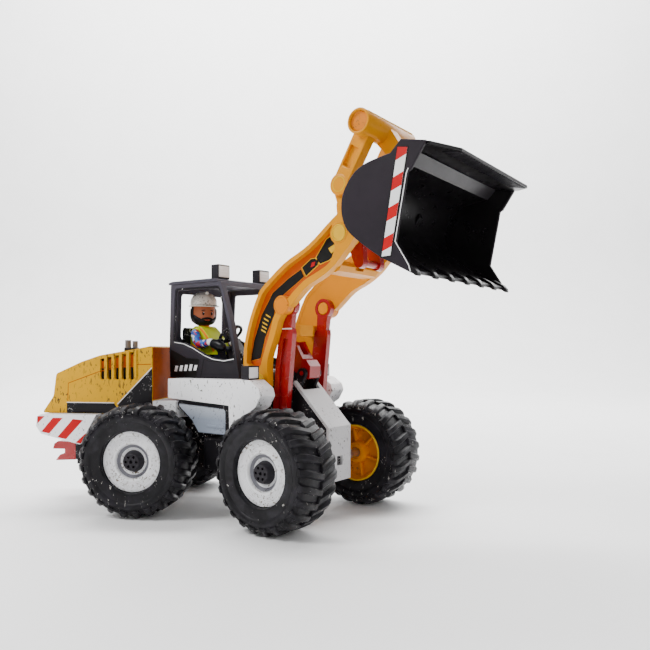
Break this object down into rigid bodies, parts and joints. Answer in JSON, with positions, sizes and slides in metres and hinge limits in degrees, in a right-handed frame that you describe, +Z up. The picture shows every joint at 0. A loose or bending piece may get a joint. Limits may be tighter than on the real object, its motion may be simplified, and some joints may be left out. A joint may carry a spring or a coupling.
{
  "type": "toy front loader",
  "caption": "Articulated toy wheel loader with an open cab and driver, big lugged wheels, curved lifting arms and a tipping bucket, steered to one side with the bucket raised",
  "frame": {"origin": "on the ground, below the middle of the whole object's bounding box at rest", "axes": "+X is the way the front unit and its bucket face, +Y is the driver's left, +Z is up"},
  "size_m": [0.4338, 0.2208, 0.3275],
  "materials": {
    "yellow_plastic": "satin",
    "red_plastic": "gloss",
    "black_plastic": "matt",
    "bucket_black": "satin",
    "cab_grey": "fine texture",
    "white_plastic": "satin",
    "tank_grey": "satin",
    "tyre_rubber": "satin",
    "disc_white": "satin",
    "axle_steel": "bright",
    "lamp_lens": "clear gloss",
    "lamp_black": "satin",
    "driver_vest": "satin",
    "driver_sleeve": "satin",
    "driver_skin": "satin",
    "helmet_white": "satin"
  },
  "bodies": {
    "front_frame": {"front_chassis": "black_plastic", "nose_cover": "white_plastic", "front_axle": "axle_steel", "steering_pin": "axle_steel", "cab_frame": "cab_grey", "cab_roof": "cab_grey", "seat": "black_plastic", "steering_column": "black_plastic", "driver_body": "driver_vest", "left_side_panel": "white_plastic", "left_tank_cover": "tank_grey", "left_lower_lamp": "lamp_black", "left_roof_lamp": "lamp_black", "left_roof_lamp_lens": "lamp_lens", "right_side_panel": "white_plastic", "right_tank_cover": "tank_grey", "right_lower_lamp": "lamp_black", "right_roof_lamp": "lamp_black", "right_roof_lamp_lens": "lamp_lens"},
    "rear_frame": {"rear_chassis": "black_plastic", "rear_axle": "axle_steel", "rear_deck": "white_plastic", "hood": "yellow_plastic", "exhaust_stub": "lamp_black", "counterweight": "white_plastic", "tow_hitch": "red_plastic"},
    "arms": {"lower_cross_beam": "yellow_plastic", "upper_cross_beam": "yellow_plastic", "left_loader_arm": "yellow_plastic", "right_loader_arm": "yellow_plastic"},
    "tilt_lever": {"tilt_crank_shaft": "red_plastic", "left_tilt_lever": "yellow_plastic", "right_tilt_lever": "yellow_plastic"},
    "tilt_link": {"tilt_link_frame": "yellow_plastic"},
    "bucket_body": {"bucket": "bucket_black"},
    "lock_lever": {"lift_lock_lever": "red_plastic"},
    "steering_wheel_body": {"steering_wheel": "black_plastic"},
    "driver_head_body": {"driver_head": "driver_skin", "driver_helmet": "helmet_white"},
    "left_strut": {"left_lift_strut": "red_plastic"},
    "driver_left_arm_body": {"driver_left_arm": "driver_sleeve"},
    "front_left_wheel": {"front_left_tyre": "tyre_rubber", "front_left_inner_rim": "yellow_plastic", "front_left_wheel_disc": "disc_white", "front_left_hub_cap": "black_plastic"},
    "rear_left_wheel": {"rear_left_tyre": "tyre_rubber", "rear_left_inner_rim": "yellow_plastic", "rear_left_wheel_disc": "disc_white", "rear_left_hub_cap": "black_plastic"},
    "right_strut": {"right_lift_strut": "red_plastic"},
    "driver_right_arm_body": {"driver_right_arm": "driver_sleeve"},
    "front_right_wheel": {"front_right_tyre": "tyre_rubber", "front_right_inner_rim": "yellow_plastic", "front_right_wheel_disc": "disc_white", "front_right_hub_cap": "black_plastic"},
    "rear_right_wheel": {"rear_right_tyre": "tyre_rubber", "rear_right_inner_rim": "yellow_plastic", "rear_right_wheel_disc": "disc_white", "rear_right_hub_cap": "black_plastic"}
  },
  "joints": [
    {"name": "steer", "type": "hinge", "parent": "front_frame", "child": "rear_frame", "pos_m": [-0.0331, 0.02237, 0.06], "axis": [0, 0, 1], "range_deg": [-57, 0.6]},
    {"name": "lift", "type": "hinge", "parent": "front_frame", "child": "arms", "pos_m": [0.01815, 0.02237, 0.116], "axis": [0, -1, 0], "range_deg": [-80, 3]},
    {"name": "left_strut_swing", "type": "hinge", "parent": "arms", "child": "left_strut", "pos_m": [0.04335, 0.04707, 0.1796], "axis": [0, -1, 0], "range_deg": [-0.4, 9.1]},
    {"name": "right_strut_swing", "type": "hinge", "parent": "arms", "child": "right_strut", "pos_m": [0.04335, -0.00233, 0.1796], "axis": [0, -1, 0], "range_deg": [-0.4, 9.1]},
    {"name": "bucket_tilt", "type": "hinge", "parent": "arms", "child": "bucket_body", "pos_m": [0.13115, 0.02237, 0.2528], "axis": [0, -1, 0], "range_deg": [-10, 110]},
    {"name": "tilt_lever_swing", "type": "hinge", "parent": "arms", "child": "tilt_lever", "pos_m": [0.10205, 0.02237, 0.2338], "axis": [0, -1, 0], "range_deg": [-7.7, 84.7]},
    {"name": "tilt_link_swing", "type": "hinge", "parent": "tilt_lever", "child": "tilt_link", "pos_m": [0.09515, 0.02237, 0.2748], "axis": [0, -1, 0], "range_deg": [-47.3, 4.3]},
    {"name": "lock_lever_swing", "type": "hinge", "parent": "front_frame", "child": "lock_lever", "pos_m": [0.04515, 0.02237, 0.122], "axis": [0, -1, 0], "range_deg": [0, 12]},
    {"name": "steering_wheel_spin", "type": "hinge", "parent": "front_frame", "child": "steering_wheel_body", "pos_m": [-0.03785, 0.00937, 0.157], "axis": [-0.6428, 0, 0.766], "continuous": true},
    {"name": "driver_head_turn", "type": "hinge", "parent": "front_frame", "child": "driver_head_body", "pos_m": [-0.07435, 0.00937, 0.17], "axis": [0, 0, 1], "range_deg": [-60, 60]},
    {"name": "driver_left_arm_swing", "type": "hinge", "parent": "front_frame", "child": "driver_left_arm_body", "pos_m": [-0.07235, 0.02277, 0.158], "axis": [0, -1, 0], "range_deg": [-20, 60]},
    {"name": "driver_right_arm_swing", "type": "hinge", "parent": "front_frame", "child": "driver_right_arm_body", "pos_m": [-0.07235, -0.00403, 0.158], "axis": [0, -1, 0], "range_deg": [-20, 60]},
    {"name": "front_left_wheel_spin", "type": "hinge", "parent": "front_frame", "child": "front_left_wheel", "pos_m": [0.06215, 0.08797, 0.048], "axis": [0, 1, 0], "continuous": true},
    {"name": "rear_left_wheel_spin", "type": "hinge", "parent": "rear_frame", "child": "rear_left_wheel", "pos_m": [-0.13037, 0.04465, 0.048], "axis": [-0.4726, 0.8813, 0], "continuous": true},
    {"name": "front_right_wheel_spin", "type": "hinge", "parent": "front_frame", "child": "front_right_wheel", "pos_m": [0.06215, -0.04323, 0.048], "axis": [0, 1, 0], "continuous": true},
    {"name": "rear_right_wheel_spin", "type": "hinge", "parent": "rear_frame", "child": "rear_right_wheel", "pos_m": [-0.06837, -0.07098, 0.048], "axis": [-0.4726, 0.8813, 0], "continuous": true}
  ],
  "couplings": [
    {"joint": "left_strut_swing", "follows": "lift", "ratio": -0.113},
    {"joint": "right_strut_swing", "follows": "lift", "ratio": -0.113},
    {"joint": "tilt_lever_swing", "follows": "bucket_tilt", "ratio": 0.77},
    {"joint": "tilt_link_swing", "follows": "bucket_tilt", "ratio": -0.43}
  ]
}
